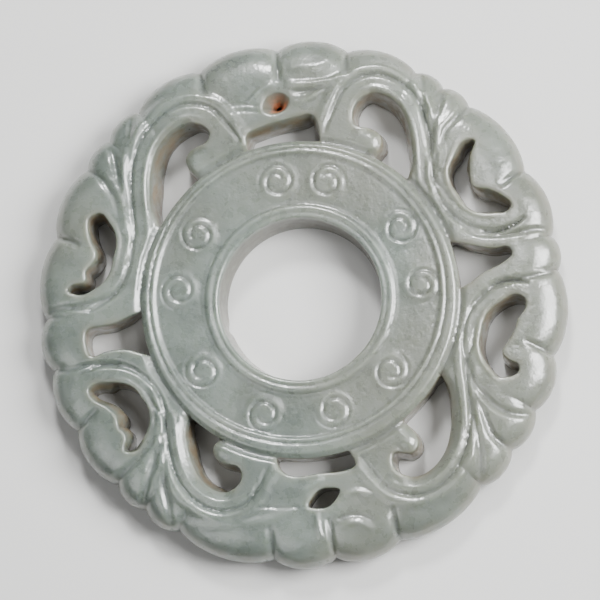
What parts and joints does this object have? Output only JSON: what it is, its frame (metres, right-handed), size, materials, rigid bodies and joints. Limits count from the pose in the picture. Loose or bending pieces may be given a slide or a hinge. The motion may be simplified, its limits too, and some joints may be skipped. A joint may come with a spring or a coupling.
{
  "type": "openwork jade disc pendant",
  "caption": "Pierced jade disc pendant: a ring with relief spirals and a round central hole, inside a border of openwork scrolls with a lobed edge.",
  "frame": {"origin": "middle of the disc's bounding box, on the flat underside that it lies on", "axes": "+Z out of the carved face; +Y towards the small hanging hole above the upper slot; +X to the right as the carved face is seen"},
  "size_m": [0.0584, 0.0584, 0.0053],
  "materials": {
    "jade": "polished pale celadon-white jade, softly mottled, with a glossy lustre and ochre stain on the walls of the piercings"
  },
  "bodies": {
    "root": {"openwork_disc": "jade"}
  },
  "joints": []
}
